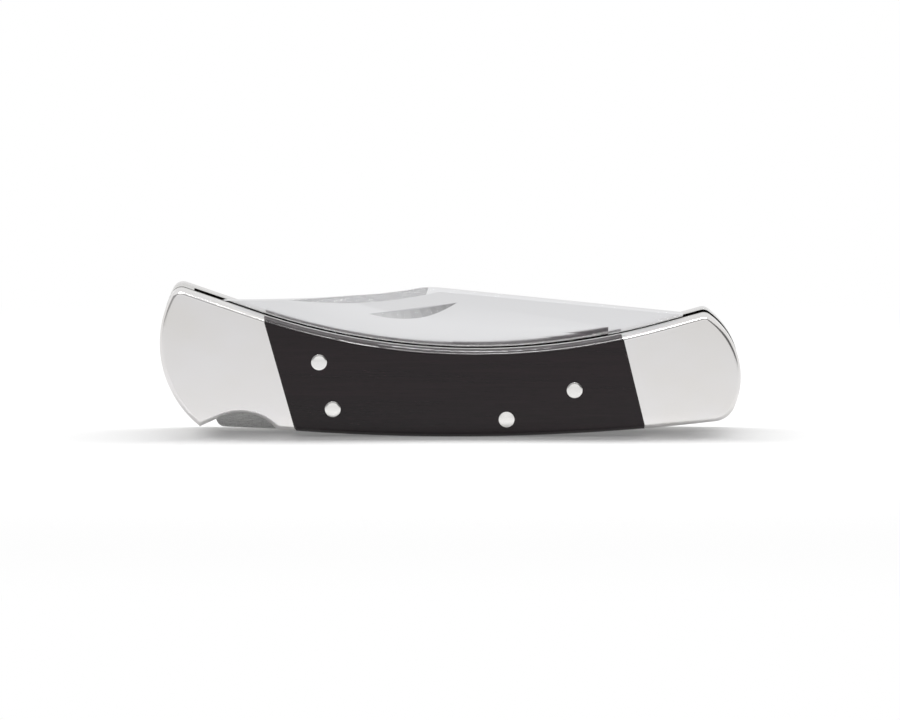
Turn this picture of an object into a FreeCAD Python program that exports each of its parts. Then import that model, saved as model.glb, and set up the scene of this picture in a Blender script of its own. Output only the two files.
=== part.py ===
import FreeCAD, Part
import math
import os

# A lock-back folding knife, closed and standing on its back, in millimetres and degrees.
# X runs from the butt to the pivot end, Y from the front side to the back side, and Z is up.
# Lengths named from_butt start at the butt end, from_nose at the pivot end, from_middle half-way and
# from_notch at the middle of the thumb notch, and heights start at the lowest point of the back.

# Handle outline, seen from the side
HANDLE_LENGTH = 124.0
BUTT_RADIUS = 22.7
BUTT_CORNER_RADIUS = 2.3
BUTT_RISE_ANGLE = 19.1
WAIST_FROM_MIDDLE = 5.8
WAIST_HEIGHT = 18.4
WAIST_RADIUS = 147.0
NOSE_RISE_ANGLE = 15.5
NOSE_RADIUS = 16.0
NOSE_BULGE_HEIGHT = 12.8
NOSE_TOP_CORNER_RADIUS = 2.0
NOSE_LOW_CORNER_RADIUS = 5.0
BACK_RADIUS = 471.0
BACK_LOW_FROM_MIDDLE = 1.0
THUMB_NOTCH_FROM_BUTT = 17.1
THUMB_NOTCH_HEIGHT = 5.12
THUMB_NOTCH_RADIUS = 10.4
THUMB_NOTCH_RAMP_ANGLE = 25.0
THUMB_NOTCH_RAMP_LENGTH = 4.6
THUMB_NOTCH_LIP_RADIUS = 1.6

# Handle layers, from the slot outwards
BLADE_THICKNESS = 3.04
BLADE_SIDE_CLEARANCE = 0.22
LINER_THICKNESS = 2.3
COVER_THICKNESS = 4.1
COVER_EDGE_RADIUS = 1.0
SLOT_WIDTH = BLADE_THICKNESS + 2 * BLADE_SIDE_CLEARANCE
LINER_FACE = SLOT_WIDTH / 2 + LINER_THICKNESS
COVER_FACE = LINER_FACE + COVER_THICKNESS

# Slanted joints between the wood and the bolsters, placed where they cross the ground line
BUTT_JOINT_FROM_NOTCH = 12.35
BUTT_JOINT_LEAN = 15.6
PIVOT_JOINT_FROM_NOSE = 20.1
PIVOT_JOINT_LEAN = 13.8
JOINT_CHAMFER = 0.22

# Pins and rivets
RIVET_DIAMETER = 3.35
RIVET_DOME = 0.14
RIVET_RING = 0.07
REAR_TOP_RIVET_FROM_BUTT = 34.0
REAR_TOP_RIVET_HEIGHT = 16.1
REAR_LOW_RIVET_FROM_BUTT = 36.9
REAR_LOW_RIVET_HEIGHT = 6.0
FRONT_RIVET_FROM_NOSE = 35.5
FRONT_RIVET_HEIGHT = 10.1
ROCKER_FROM_NOSE = 50.0
ROCKER_HEIGHT = 3.8
BUTT_PIN_DIAMETER = 2.8
UPPER_BUTT_PIN_FROM_BUTT = 5.2
UPPER_BUTT_PIN_HEIGHT = 22.0
LOWER_BUTT_PIN_FROM_BUTT = 11.6
LOWER_BUTT_PIN_HEIGHT = 14.2
BOLSTER_PIN_DIAMETER = 2.4
BOLSTER_PIN_DEPTH = 2.6
BOLSTER_PIN_FROM_JOINT = 2.9
UPPER_BOLSTER_PIN_HEIGHT = 19.2
LOWER_BOLSTER_PIN_HEIGHT = 6.6

# Blade pivot
PIVOT_FROM_NOSE = 12.0
PIVOT_HEIGHT = 14.2
PIVOT_PIN_DIAMETER = 4.0
BUSHING_WALL = 1.1
RUNNING_CLEARANCE = 0.04
OPEN_ANGLE = 168.0

# Blade outline, closed, measured from the pivot
TIP_CLEARANCE = 1.3
TIP_ABOVE_PIVOT = 14.4
SHOULDER_ABOVE_PIVOT = 11.5
SHOULDER_BEHIND_PIVOT = 0.3
SPINE_LENGTH = 55.0
SPINE_SLOPE = 5.86
CLIP_SAG = 1.1
APEX_RADIUS = 16.0
HEEL_BEHIND_PIVOT = 20.0
HEEL_ABOVE_BAR = 2.5
EDGE_LENGTH = 30.0
EDGE_SLOPE = 2.67
CHOIL_RADIUS = 1.5
KICK_BEHIND_PIVOT = 14.0
KICK_ABOVE_BAR = 1.2
KICK_LENGTH = 2.2

# Blade grinds and nail nick
PLUNGE_BEHIND_PIVOT = 16.6
GRIND_WIDTH = 14.5
GRIND_WHEEL_RADIUS = 57.0
GRIND_DEPTH = 0.37
GRIND_EDGE_THICKNESS = BLADE_THICKNESS - 2 * GRIND_DEPTH
GRIND_TAPER = 0.5
EDGE_BEVEL_WIDTH = 3.0
EDGE_THICKNESS = 0.1
SWEDGE_FROM_APEX = 2.78
SWEDGE_DEPTH = 0.58
SWEDGE_SLOPE = 12.8
SWEDGE_RADIUS = 103.0
SWEDGE_TILT = 46.0
SPINE_BEVEL_AT_APEX = 0.6
SPINE_BEVEL_AT_SHOULDER = 0.25
SPINE_BEVEL_TILT = 45.0
NICK_LENGTH = 19.8
NICK_WIDTH = 2.35
NICK_DEPTH = 0.8
NICK_SLOPE = 7.35
NICK_BEHIND_PIVOT = 58.4
NICK_ABOVE_PIVOT = 12.63

# Lock: the tooth rides on the round of the tang, drops into its notch and is pressed out of it
RIDING_CLEARANCE = 0.1
TOOTH_RISE = 1.3
TOOTH_WIDTH = 3.4
TOOTH_BEHIND_PIVOT = 1.0
TOOTH_SIDE_CLEARANCE = 0.16
TOOTH_TIP_CLEARANCE = 0.2
LOCK_DROP_ANGLE = 1.2

# Lock bar
BAR_SIDE_CLEARANCE = 0.1
BAR_RECESS = 0.25
BAR_REAR_FROM_BUTT = 11.8
BAR_REAR_HEIGHT = 1.42
BAR_REAR_CORNER_RADIUS = 1.9
BAR_FLAT_FROM_BUTT = 40.2
BAR_REAR_TOP = 6.3
BAR_FRONT_TOP = 6.0
BAR_BOSS_RISE = 1.0

# Butt spacer and lock spring
SLOT_END_FROM_BUTT = 7.2
SPACER_BEND_HEIGHT = 24.5
SPACER_TOE_FROM_BUTT = 22.5
SPACER_TOE_TOP = 14.0
SPACER_TOE_BOTTOM = 8.1
SPACER_FACE_CLEARANCE = 0.6
SPRING_THICKNESS = 0.9
SPRING_SIDE_CLEARANCE = 0.2
SPRING_ROOT_FROM_BUTT = 16.2
SPRING_ROOT_RISE = 2.2
SPRING_HEIGHT = 10.0
SPRING_BEND_FROM_BUTT = 25.0
SPRING_TIP_BEHIND_ROCKER = 12.0
SPRING_TIP_CLEARANCE = 0.3

# How far every cut runs past the piece that it cuts
OVERRUN = 2.0

# Places along the handle that follow its length, and heights that follow the lock bar
MIDDLE_FROM_BUTT = HANDLE_LENGTH / 2
BACK_LOW_FROM_BUTT = MIDDLE_FROM_BUTT + BACK_LOW_FROM_MIDDLE
ROCKER_FROM_BUTT = HANDLE_LENGTH - ROCKER_FROM_NOSE
PIVOT_FROM_BUTT = HANDLE_LENGTH - PIVOT_FROM_NOSE
BUTT_JOINT_FROM_BUTT = THUMB_NOTCH_FROM_BUTT + BUTT_JOINT_FROM_NOTCH
PIVOT_JOINT_FROM_BUTT = HANDLE_LENGTH - PIVOT_JOINT_FROM_NOSE
BLADE_REACH = PIVOT_FROM_BUTT - SLOT_END_FROM_BUTT - TIP_CLEARANCE
TOOTH_TIP_HEIGHT = BAR_FRONT_TOP + TOOTH_RISE
LUG_RADIUS = PIVOT_HEIGHT - TOOTH_TIP_HEIGHT - RIDING_CLEARANCE
BAR_BOSS_RADIUS = BAR_REAR_TOP + BAR_BOSS_RISE - ROCKER_HEIGHT
SPACER_FACE_FROM_BUTT = BAR_REAR_FROM_BUTT - SPACER_FACE_CLEARANCE

FORWARD, UP, REARWARD, DOWN = 0, 90, 180, 270
ACROSS = FreeCAD.Vector(0, 1, 0)
ORIGIN = FreeCAD.Vector(0, 0, 0)


def at(from_butt, height, across=0):
    """A point of the knife's frame, which is centred along the handle."""
    return FreeCAD.Vector(from_butt - MIDDLE_FROM_BUTT, across, height)


def from_pivot(behind, above, across=0):
    """A point of the closed blade, placed from the pivot."""
    return at(PIVOT_FROM_BUTT - behind, PIVOT_HEIGHT + above, across)


def direction(angle):
    """The unit vector at an angle that is counted from +X towards +Z."""
    return FreeCAD.Vector(math.cos(math.radians(angle)), 0, math.sin(math.radians(angle)))


def line_end_on_circle(start, heading, centre, radius):
    """Where a line that starts inside a circle leaves it."""
    offset = start - centre
    along = offset.dot(heading)
    return start + heading * (math.sqrt(along ** 2 + radius ** 2 - offset.dot(offset)) - along)


def circles_meet(centre_a, radius_a, centre_b, radius_b):
    """The point furthest forward where two circles cross."""
    apart = centre_b - centre_a
    share = (1 + (radius_a ** 2 - radius_b ** 2) / apart.dot(apart)) / 2
    middle = centre_a + apart * share
    aside = FreeCAD.Vector(-apart.z, 0, apart.x).normalize()
    aside = aside * math.sqrt(radius_a ** 2 - (apart * share).dot(apart * share))
    return max(middle + aside, middle - aside, key=lambda point: point.x)


def line(start, end):
    return Part.LineSegment(start, end).toShape()


def arc(start, through, end):
    return Part.Arc(start, through, end).toShape()


def rounded_face(edges, corners):
    """The face inside a closed chain of edges, with the corners rounded that come as point and radius."""
    block = Part.Face(Part.Wire(edges)).extrude(ACROSS * OVERRUN)
    for corner, radius in corners:
        middle = corner + ACROSS * (OVERRUN / 2)
        upright = min(block.Edges, key=lambda edge: edge.CenterOfMass.distanceToPoint(middle))
        block = block.makeFillet(radius, [upright])
    return min(block.Faces, key=lambda face: face.CenterOfMass.y)


def polygon(points):
    return Part.Face(Part.makePolygon(list(points) + [points[0]]))


def plate(face, near, far):
    """A side-view face made solid from one place across the knife to another."""
    solid = face.copy()
    solid.translate(ACROSS * near)
    return solid.extrude(ACROSS * (far - near))


def pin(place, diameter, near, far):
    """A round pin, or the hole for one, across the knife."""
    return Part.makeCylinder(diameter / 2, far - near, place + ACROSS * near, ACROSS)


def mirrored(shape):
    """The same piece on the back side."""
    return shape.mirror(ORIGIN, ACROSS)


def handle_outline():
    """The side view that the liners and the covers share."""
    waist = at(MIDDLE_FROM_BUTT + WAIST_FROM_MIDDLE, WAIST_HEIGHT + WAIST_RADIUS)
    nose = at(HANDLE_LENGTH - NOSE_RADIUS, NOSE_BULGE_HEIGHT)
    back = at(BACK_LOW_FROM_BUTT, BACK_RADIUS)
    notch = at(THUMB_NOTCH_FROM_BUTT, THUMB_NOTCH_HEIGHT - THUMB_NOTCH_RADIUS)
    notch_ramp = notch + direction(UP + THUMB_NOTCH_RAMP_ANGLE) * THUMB_NOTCH_RADIUS
    butt_tooth = notch_ramp + direction(REARWARD + THUMB_NOTCH_RAMP_ANGLE) * THUMB_NOTCH_RAMP_LENGTH
    butt_reach = at(BUTT_RADIUS, 0).x - butt_tooth.x
    butt = at(BUTT_RADIUS, butt_tooth.z + math.sqrt(BUTT_RADIUS ** 2 - butt_reach ** 2))
    waist_rear = waist + direction(DOWN - BUTT_RISE_ANGLE) * WAIST_RADIUS
    waist_front = waist + direction(DOWN + NOSE_RISE_ANGLE) * WAIST_RADIUS
    butt_corner = line_end_on_circle(waist_rear, direction(REARWARD - BUTT_RISE_ANGLE), butt, BUTT_RADIUS)
    nose_corner = line_end_on_circle(waist_front, direction(NOSE_RISE_ANGLE), nose, NOSE_RADIUS)
    nose_foot = circles_meet(nose, NOSE_RADIUS, back, BACK_RADIUS)
    notch_lip = circles_meet(notch, THUMB_NOTCH_RADIUS, back, BACK_RADIUS)
    edges = [
        line(butt_corner, waist_rear),
        arc(waist_front, waist + direction(DOWN) * WAIST_RADIUS, waist_rear),
        line(waist_front, nose_corner),
        arc(nose_corner, nose + direction(FORWARD) * NOSE_RADIUS, nose_foot),
        arc(nose_foot, back + direction(DOWN) * BACK_RADIUS, notch_lip),
        arc(notch_lip, notch + direction(UP) * THUMB_NOTCH_RADIUS, notch_ramp),
        line(notch_ramp, butt_tooth),
        arc(butt_tooth, butt + direction(REARWARD) * BUTT_RADIUS, butt_corner),
    ]
    corners = [
        (butt_corner, BUTT_CORNER_RADIUS),
        (nose_corner, NOSE_TOP_CORNER_RADIUS),
        (nose_foot, NOSE_LOW_CORNER_RADIUS),
        (notch_lip, THUMB_NOTCH_LIP_RADIUS),
    ]
    return rounded_face(edges, corners)


OUTLINE = handle_outline()
PIVOT = from_pivot(0, 0)
ROCKER = at(ROCKER_FROM_BUTT, ROCKER_HEIGHT)
SCALE_RIVETS = [
    at(REAR_TOP_RIVET_FROM_BUTT, REAR_TOP_RIVET_HEIGHT),
    at(REAR_LOW_RIVET_FROM_BUTT, REAR_LOW_RIVET_HEIGHT),
    at(HANDLE_LENGTH - FRONT_RIVET_FROM_NOSE, FRONT_RIVET_HEIGHT),
]
BUTT_PINS = [
    at(UPPER_BUTT_PIN_FROM_BUTT, UPPER_BUTT_PIN_HEIGHT),
    at(LOWER_BUTT_PIN_FROM_BUTT, LOWER_BUTT_PIN_HEIGHT),
]
BOLSTER_PINS = [
    at(PIVOT_JOINT_FROM_BUTT + BOLSTER_PIN_FROM_JOINT, UPPER_BOLSTER_PIN_HEIGHT),
    at(PIVOT_JOINT_FROM_BUTT + BOLSTER_PIN_FROM_JOINT, LOWER_BOLSTER_PIN_HEIGHT),
]
BUSHING_DIAMETER = PIVOT_PIN_DIAMETER + 2 * BUSHING_WALL
TOOTH_FRONT_FROM_BUTT = PIVOT_FROM_BUTT - TOOTH_BEHIND_PIVOT + TOOTH_WIDTH
TOOTH_DROP = (TOOTH_FRONT_FROM_BUTT - ROCKER_FROM_BUTT) * math.sin(math.radians(LOCK_DROP_ANGLE))
TANG_FLAT = LUG_RADIUS + RIDING_CLEARANCE - TOOTH_DROP - TOOTH_TIP_CLEARANCE


def joint_point(from_butt, lean, height, across=0):
    """A point on the slanted joint between the wood and a bolster."""
    return at(from_butt - height * math.tan(math.radians(lean)), height, across)


def side_region(rear, front):
    """The block between two slanted joints, each given as its place and its lean."""
    low = -OVERRUN
    high = OUTLINE.BoundBox.ZMax + OVERRUN
    corners = [
        joint_point(*rear, low),
        joint_point(*front, low),
        joint_point(*front, high),
        joint_point(*rear, high),
    ]
    return plate(polygon(corners), -COVER_FACE - OVERRUN, COVER_FACE + OVERRUN)


def joint_bevel(from_butt, lean, into_bolster):
    """The cutter that breaks a bolster's outer edge where it meets the wood."""
    low = joint_point(from_butt, lean, -OVERRUN, -COVER_FACE)
    high = joint_point(from_butt, lean, OUTLINE.BoundBox.ZMax + OVERRUN, -COVER_FACE)
    inward = direction(into_bolster + lean)
    corners = [
        low + inward * (JOINT_CHAMFER + OVERRUN) - ACROSS * OVERRUN,
        low - inward * OVERRUN + ACROSS * (JOINT_CHAMFER + OVERRUN),
        low - inward * OVERRUN - ACROSS * OVERRUN,
    ]
    return polygon(corners).extrude(high - low)


BUTT_END = (-OVERRUN, 0)
NOSE_END = (HANDLE_LENGTH + OVERRUN, 0)
BUTT_JOINT = (BUTT_JOINT_FROM_BUTT, BUTT_JOINT_LEAN)
PIVOT_JOINT = (PIVOT_JOINT_FROM_BUTT, PIVOT_JOINT_LEAN)


def front_cover():
    """Wood and bolsters of the front side in one piece, with the outer edge rounded."""
    block = plate(OUTLINE, -COVER_FACE, -LINER_FACE)
    outer_face = min(block.Faces, key=lambda face: face.CenterOfMass.y)
    return block.makeFillet(COVER_EDGE_RADIUS, outer_face.Edges)


def drilled(shape, places, diameter):
    for place in places:
        shape = shape.cut(pin(place, diameter, -COVER_FACE - OVERRUN, COVER_FACE + OVERRUN))
    return shape


def front_butt_bolster(cover):
    bolster = cover.common(side_region(BUTT_END, BUTT_JOINT))
    bolster = bolster.cut(joint_bevel(*BUTT_JOINT, REARWARD))
    return drilled(bolster, BUTT_PINS, BUTT_PIN_DIAMETER)


def front_pivot_bolster(cover):
    bolster = cover.common(side_region(PIVOT_JOINT, NOSE_END))
    bolster = bolster.cut(joint_bevel(*PIVOT_JOINT, FORWARD))
    bolster = drilled(bolster, [PIVOT], PIVOT_PIN_DIAMETER)
    return bolster.cut(front_bolster_pins())


def front_scale(cover):
    scale = cover.common(side_region(BUTT_JOINT, PIVOT_JOINT))
    return drilled(scale, SCALE_RIVETS + [ROCKER], RIVET_DIAMETER + 2 * RIVET_RING)


def front_liner():
    liner = plate(OUTLINE, -LINER_FACE, -SLOT_WIDTH / 2)
    liner = drilled(liner, SCALE_RIVETS + [ROCKER], RIVET_DIAMETER)
    liner = drilled(liner, BUTT_PINS, BUTT_PIN_DIAMETER)
    liner = drilled(liner, BOLSTER_PINS, BOLSTER_PIN_DIAMETER)
    return drilled(liner, [PIVOT], PIVOT_PIN_DIAMETER)


def domed(shank, place):
    """A shank with its front end rounded over to a low dome."""
    dome_radius = ((RIVET_DIAMETER / 2) ** 2 + RIVET_DOME ** 2) / (2 * RIVET_DOME)
    crown = place + ACROSS * (dome_radius - COVER_FACE - RIVET_DOME)
    return shank.common(Part.makeSphere(dome_radius, crown))


def front_scale_rivets():
    rivets = []
    for place in SCALE_RIVETS:
        shank = pin(place, RIVET_DIAMETER, -COVER_FACE - RIVET_DOME, -SLOT_WIDTH / 2)
        rivets.append(domed(shank, place))
    return Part.makeCompound(rivets)


def rocker_pin():
    """The pin that the lock bar rocks on, with a domed head on each side."""
    half = domed(pin(ROCKER, RIVET_DIAMETER, -COVER_FACE - RIVET_DOME, 0), ROCKER)
    return half.fuse(mirrored(half)).removeSplitter()


def pivot_pin():
    return pin(PIVOT, PIVOT_PIN_DIAMETER, -COVER_FACE, COVER_FACE)


def pivot_bushing():
    sleeve = pin(PIVOT, BUSHING_DIAMETER, -SLOT_WIDTH / 2, SLOT_WIDTH / 2)
    return drilled(sleeve, [PIVOT], PIVOT_PIN_DIAMETER)


def butt_bolster_pins():
    pins = [pin(place, BUTT_PIN_DIAMETER, -COVER_FACE, COVER_FACE) for place in BUTT_PINS]
    return Part.makeCompound(pins)


def front_bolster_pins():
    inner_end = -LINER_FACE - BOLSTER_PIN_DEPTH
    pins = [pin(place, BOLSTER_PIN_DIAMETER, inner_end, -SLOT_WIDTH / 2) for place in BOLSTER_PINS]
    return Part.makeCompound(pins)


def blade_points():
    """The corners of the closed blade's outline that its grinds also follow."""
    shoulder = from_pivot(SHOULDER_BEHIND_PIVOT, SHOULDER_ABOVE_PIVOT)
    heel = at(PIVOT_FROM_BUTT - HEEL_BEHIND_PIVOT, BAR_FRONT_TOP + HEEL_ABOVE_BAR)
    return {
        "tip": from_pivot(BLADE_REACH, TIP_ABOVE_PIVOT),
        "apex": shoulder + direction(REARWARD - SPINE_SLOPE) * SPINE_LENGTH,
        "shoulder": shoulder,
        "heel": heel,
        "belly_start": heel + direction(REARWARD - EDGE_SLOPE) * EDGE_LENGTH,
    }


def belly_circle(points):
    """The round of the belly, which runs on from the straight edge and ends at the tip."""
    inward = direction(UP - EDGE_SLOPE)
    chord = points["tip"] - points["belly_start"]
    radius = chord.dot(chord) / (2 * chord.dot(inward))
    return points["belly_start"] + inward * radius, radius


def tang():
    """The round of the tang with the notch and the flat that the lock tooth drops into."""
    lug = pin(PIVOT, 2 * LUG_RADIUS, -BLADE_THICKNESS / 2, BLADE_THICKNESS / 2)
    return lug.cut(tang_flat())


def tang_flat():
    """The cutter of the flat that lies over the tooth of the lock bar while the blade is closed."""
    rear = TOOTH_BEHIND_PIVOT + 2 * TOOTH_SIDE_CLEARANCE
    front = -LUG_RADIUS - OVERRUN
    corners = [
        from_pivot(rear, -TANG_FLAT),
        from_pivot(front, -TANG_FLAT),
        from_pivot(front, -LUG_RADIUS - OVERRUN),
        from_pivot(rear, -LUG_RADIUS - OVERRUN),
    ]
    return plate(polygon(corners), -SLOT_WIDTH, SLOT_WIDTH)


def lock_notch():
    """The cutter of the notch that holds the tooth while the blade is open, turned to the closed blade."""
    rear = TOOTH_BEHIND_PIVOT + TOOTH_SIDE_CLEARANCE
    front = TOOTH_BEHIND_PIVOT - TOOTH_WIDTH - TOOTH_SIDE_CLEARANCE
    low = -SHOULDER_ABOVE_PIVOT - OVERRUN
    corners = [
        from_pivot(rear, -TANG_FLAT),
        from_pivot(front, -TANG_FLAT),
        from_pivot(front, low),
        from_pivot(rear, low),
    ]
    notch = plate(polygon(corners), -SLOT_WIDTH, SLOT_WIDTH)
    notch.rotate(PIVOT, ACROSS, -OPEN_ANGLE)
    return notch


def blade_blank(points):
    """The blade before grinding: outline, tang, notch and pivot bore."""
    belly_centre, belly_radius = belly_circle(points)
    tip_side = (points["tip"] + points["belly_start"]) / 2 - belly_centre
    belly_middle = belly_centre + tip_side.normalize() * belly_radius
    clip_chord = points["apex"] - points["tip"]
    clip_sag = FreeCAD.Vector(clip_chord.z, 0, -clip_chord.x).normalize() * CLIP_SAG
    clip_middle = (points["apex"] + points["tip"]) / 2 + clip_sag
    flat_corner = from_pivot(TOOTH_BEHIND_PIVOT, -TANG_FLAT)
    kick_rear = at(PIVOT_FROM_BUTT - KICK_BEHIND_PIVOT, BAR_FRONT_TOP + KICK_ABOVE_BAR)
    kick_front = kick_rear + direction(FORWARD) * KICK_LENGTH
    choil_end = points["heel"] + direction(FORWARD) * (2 * CHOIL_RADIUS)
    choil_top = points["heel"] + direction(FORWARD) * CHOIL_RADIUS + direction(UP) * CHOIL_RADIUS
    edges = [
        arc(points["tip"], clip_middle, points["apex"]),
        line(points["apex"], points["shoulder"]),
        line(points["shoulder"], PIVOT),
        line(PIVOT, flat_corner),
        line(flat_corner, kick_front),
        line(kick_front, kick_rear),
        line(kick_rear, choil_end),
        arc(choil_end, choil_top, points["heel"]),
        line(points["heel"], points["belly_start"]),
        arc(points["belly_start"], belly_middle, points["tip"]),
    ]
    outline = rounded_face(edges, [(points["apex"], APEX_RADIUS)])
    body = plate(outline, -BLADE_THICKNESS / 2, BLADE_THICKNESS / 2)
    body = body.fuse(tang()).removeSplitter().cut(lock_notch())
    return drilled(body, [PIVOT], BUSHING_DIAMETER + 2 * RUNNING_CLEARANCE)


def edge_grind(points, section):
    """A front-side cutter that follows the edge and the belly; its section is a list of edges."""
    face = Part.Face(Part.Wire(section))
    to_plunge = from_pivot(PLUNGE_BEHIND_PIVOT, 0) - points["belly_start"]
    straight = face.extrude(direction(-EDGE_SLOPE) * to_plunge.dot(direction(-EDGE_SLOPE)))
    centre, radius = belly_circle(points)
    chord = points["tip"] - points["belly_start"]
    turn = 2 * math.degrees(math.asin(chord.Length / (2 * radius)) + math.asin(OVERRUN / radius))
    return [straight, face.revolve(centre, ACROSS, turn)]


def grind_point(points, from_edge, half_thickness):
    """A point of a grind's section, placed by its distance from the edge and from the blade's middle."""
    return points["belly_start"] + direction(UP - EDGE_SLOPE) * from_edge - ACROSS * half_thickness


def hollow_grind(points):
    """The cutter of the front side's grind: a flat that rises from the edge and runs out in a hollow."""
    outside = BLADE_THICKNESS / 2 + OVERRUN
    edge = grind_point(points, 0, GRIND_EDGE_THICKNESS / 2)
    end = grind_point(points, GRIND_WIDTH, BLADE_THICKNESS / 2)
    taper = math.radians(GRIND_TAPER)
    along = direction(UP - EDGE_SLOPE) * math.cos(taper) - ACROSS * math.sin(taper)
    outward = -direction(UP - EDGE_SLOPE) * math.sin(taper) - ACROSS * math.cos(taper)
    depth = (end - edge).dot(outward)
    run_out = math.sqrt(depth * (2 * GRIND_WHEEL_RADIUS - depth))
    start = edge + along * ((end - edge).dot(along) - run_out)
    half_turn = math.asin(run_out / GRIND_WHEEL_RADIUS) / 2
    rise = outward * (1 - math.cos(half_turn)) + along * math.sin(half_turn)
    below = edge - along * OVERRUN
    outer_corner = grind_point(points, -OVERRUN, outside)
    top_corner = grind_point(points, GRIND_WIDTH, outside)
    section = [
        arc(start, start + rise * GRIND_WHEEL_RADIUS, end),
        line(end, top_corner),
        line(top_corner, outer_corner),
        line(outer_corner, below),
        line(below, start),
    ]
    return edge_grind(points, section)


def edge_bevel(points):
    """The cutter of the narrow sharpened bevel on the front side."""
    rise = (GRIND_EDGE_THICKNESS - EDGE_THICKNESS) / 2 / EDGE_BEVEL_WIDTH
    reach = EDGE_BEVEL_WIDTH + OVERRUN
    corners = [
        grind_point(points, -OVERRUN, EDGE_THICKNESS / 2 - OVERRUN * rise),
        grind_point(points, reach, EDGE_THICKNESS / 2 + reach * rise),
        grind_point(points, -OVERRUN, BLADE_THICKNESS / 2 + OVERRUN),
    ]
    section = [line(corners[i - 1], corners[i]) for i in range(len(corners))]
    return edge_grind(points, section)


def above_line(start, end):
    """The unit vector in the side view that points upwards, square to a line."""
    along = (end - start).normalize()
    upward = FreeCAD.Vector(-along.z, 0, along.x)
    return upward if upward.z > 0 else -upward


def side_bevel(start, end, lean, height):
    """A front-side cutter whose flat starts at a line on the blade's side and leans inwards above it."""
    along = (end - start).normalize()
    upward = above_line(start, end)
    base = start - along * OVERRUN - ACROSS * (BLADE_THICKNESS / 2)
    corners = [
        base - upward * OVERRUN - ACROSS * (OVERRUN * lean),
        base + upward * height + ACROSS * (height * lean),
        base + upward * height - ACROSS * (OVERRUN * lean),
    ]
    return polygon(corners).extrude(along * ((end - start).Length + 2 * OVERRUN))


def swedge(points):
    """The cutter of the front side's swedge: a bevelled wheel whose rim follows the clip."""
    start = points["apex"] + direction(-SPINE_SLOPE) * SWEDGE_FROM_APEX + direction(DOWN) * SWEDGE_DEPTH
    hub = start + direction(UP + SWEDGE_SLOPE) * SWEDGE_RADIUS
    lean = math.tan(math.radians(SWEDGE_TILT))
    outside = BLADE_THICKNESS / 2 + OVERRUN
    wide_radius = SWEDGE_RADIUS + OVERRUN / lean
    narrow_radius = SWEDGE_RADIUS - BLADE_THICKNESS / 2 / lean
    return Part.makeCone(wide_radius, narrow_radius, outside, hub - ACROSS * outside, ACROSS)


def spine_bevel(points):
    """The bright break along the spine, which narrows towards the shoulder."""
    start = points["apex"] + direction(DOWN) * SPINE_BEVEL_AT_APEX
    end = points["shoulder"] + direction(DOWN) * SPINE_BEVEL_AT_SHOULDER
    lean = math.tan(math.radians(SPINE_BEVEL_TILT))
    return side_bevel(start, end, lean, BLADE_THICKNESS / 2 / lean)


def nail_nick():
    """The cutter of the nail nick: the rim of a bevelled wheel that dips into the front side."""
    wheel_radius = (NICK_LENGTH ** 2 / 4 + NICK_DEPTH ** 2) / (2 * NICK_DEPTH)
    surface = from_pivot(NICK_BEHIND_PIVOT, NICK_ABOVE_PIVOT, -BLADE_THICKNESS / 2)
    hub = surface - ACROSS * (wheel_radius - NICK_DEPTH)
    rim_height = NICK_WIDTH + OVERRUN
    small_radius = wheel_radius - NICK_DEPTH * rim_height / NICK_WIDTH
    return Part.makeCone(wheel_radius, small_radius, rim_height, hub, direction(DOWN + NICK_SLOPE))


def blade():
    points = blade_points()
    solid = blade_blank(points)
    cutters = hollow_grind(points) + edge_bevel(points) + [swedge(points), spine_bevel(points)]
    for cutter in cutters:
        solid = solid.cut(cutter).cut(mirrored(cutter))
    return solid.cut(nail_nick())


def lock_bar():
    """The rocking bar: thumb pad at the butt, boss on the rocker pin, tooth under the tang."""
    front = TOOTH_FRONT_FROM_BUTT
    tooth_rear = front - TOOTH_WIDTH
    back = at(BACK_LOW_FROM_BUTT, BACK_RADIUS)
    line_radius = BACK_RADIUS - BAR_RECESS
    front_angle = DOWN + math.degrees(math.asin((front - BACK_LOW_FROM_BUTT) / line_radius))
    front_low = back + direction(front_angle) * line_radius
    line_middle = back + direction((front_angle + DOWN) / 2) * line_radius
    line_low = back + direction(DOWN) * line_radius
    rear_drop = BAR_REAR_TOP - ROCKER_HEIGHT
    front_drop = BAR_FRONT_TOP - ROCKER_HEIGHT
    boss_rear = ROCKER_FROM_BUTT - math.sqrt(BAR_BOSS_RADIUS ** 2 - rear_drop ** 2)
    boss_front = ROCKER_FROM_BUTT + math.sqrt(BAR_BOSS_RADIUS ** 2 - front_drop ** 2)
    rear_low = at(BAR_REAR_FROM_BUTT, BAR_REAR_HEIGHT)
    flat_end = at(BAR_FLAT_FROM_BUTT, BAR_RECESS)
    corners = [
        flat_end,
        rear_low,
        at(BAR_REAR_FROM_BUTT, BAR_REAR_TOP),
        at(boss_rear, BAR_REAR_TOP),
    ]
    front_corners = [
        at(boss_front, BAR_FRONT_TOP),
        at(tooth_rear, BAR_FRONT_TOP),
        at(tooth_rear, TOOTH_TIP_HEIGHT),
        at(front, TOOTH_TIP_HEIGHT),
        front_low,
    ]
    edges = [arc(front_low, line_middle, line_low), line(line_low, flat_end)]
    edges += [line(a, b) for a, b in zip(corners, corners[1:])]
    edges.append(arc(corners[-1], ROCKER + direction(UP) * BAR_BOSS_RADIUS, front_corners[0]))
    edges += [line(a, b) for a, b in zip(front_corners, front_corners[1:])]
    outline = rounded_face(edges, [(rear_low, BAR_REAR_CORNER_RADIUS)])
    half = SLOT_WIDTH / 2 - BAR_SIDE_CLEARANCE
    bar = plate(outline, -half, half)
    return drilled(bar, [ROCKER], RIVET_DIAMETER + 2 * RUNNING_CLEARANCE)


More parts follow.
